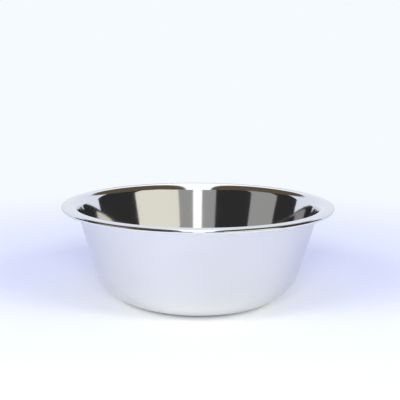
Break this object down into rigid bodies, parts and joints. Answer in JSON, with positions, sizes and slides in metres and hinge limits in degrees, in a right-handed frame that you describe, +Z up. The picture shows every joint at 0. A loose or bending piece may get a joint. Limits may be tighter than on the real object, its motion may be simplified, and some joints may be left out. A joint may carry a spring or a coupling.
{
  "type": "shaving bowl",
  "caption": "Round stainless steel shaving bowl, drawn from one sheet, with a straight leaning wall, a slightly drooping flange and a hollow rolled edge.",
  "frame": {"origin": "centre of the foot, on the plane that the bowl stands on", "axes": "+Z up along the bowl's axis of revolution, X and Y level through the foot"},
  "size_m": [0.16, 0.16, 0.0586],
  "materials": {
    "stainless_steel": "mirror-polished inside and on the flange, satin outside with faint lines round the axis"
  },
  "bodies": {
    "root": {"bowl": "stainless_steel"}
  },
  "joints": []
}
